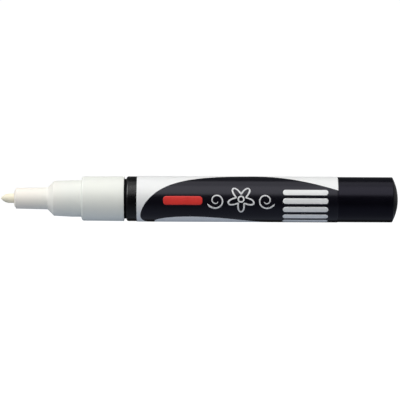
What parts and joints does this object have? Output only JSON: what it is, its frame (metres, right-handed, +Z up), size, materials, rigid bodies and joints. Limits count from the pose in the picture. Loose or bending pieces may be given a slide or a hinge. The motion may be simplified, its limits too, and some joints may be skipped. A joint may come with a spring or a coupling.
{
  "type": "liquid chalk marker",
  "caption": "Uncapped liquid chalk marker with a bullet fibre nib, stepped white front section, black barrel, printed label film, sprung valve and mixing ball.",
  "frame": {"origin": "middle of the marker's length and width, on the table under the label", "axes": "+X along the marker from the nib to the tail, +Y away from the printed face, +Z up"},
  "size_m": [0.1344, 0.0154, 0.0155],
  "materials": {
    "nib_fibre": "pressed cream fibre, matte",
    "white_plastic": "white moulded plastic, satin",
    "valve_plastic": "natural moulded plastic, satin",
    "gasket_rubber": "black rubber, matte",
    "spring_steel": "drawn steel wire",
    "black_plastic": "black moulded plastic, gloss",
    "printed_film": "white film printed with a black sweep, semi-gloss",
    "ball_steel": "polished steel ball"
  },
  "bodies": {
    "body": {"front_section": "white_plastic", "valve_housing": "valve_plastic", "seat_gasket": "gasket_rubber", "valve_spring": "spring_steel", "spring_retainer": "valve_plastic", "barrel": "black_plastic", "label_film": "printed_film"},
    "plunger": {"valve_stem": "valve_plastic"},
    "nib_rod": {"nib": "nib_fibre"},
    "ball": {"mixing_ball": "ball_steel"}
  },
  "joints": [
    {"name": "valve_press", "type": "slide", "parent": "body", "child": "plunger", "axis": [1, 0, 0], "range_m": [0, 0.0022], "stiffness_N_per_m": 900, "springref_m": -0.0012, "deforming": ["valve_spring"]},
    {"name": "nib_pull", "type": "slide", "parent": "plunger", "child": "nib_rod", "axis": [-1, 0, 0], "range_m": [0, 0.022]},
    {"name": "ball_roll", "type": "slide", "parent": "body", "child": "ball", "axis": [1, 0, 0], "range_m": [-0.08, 0]}
  ]
}
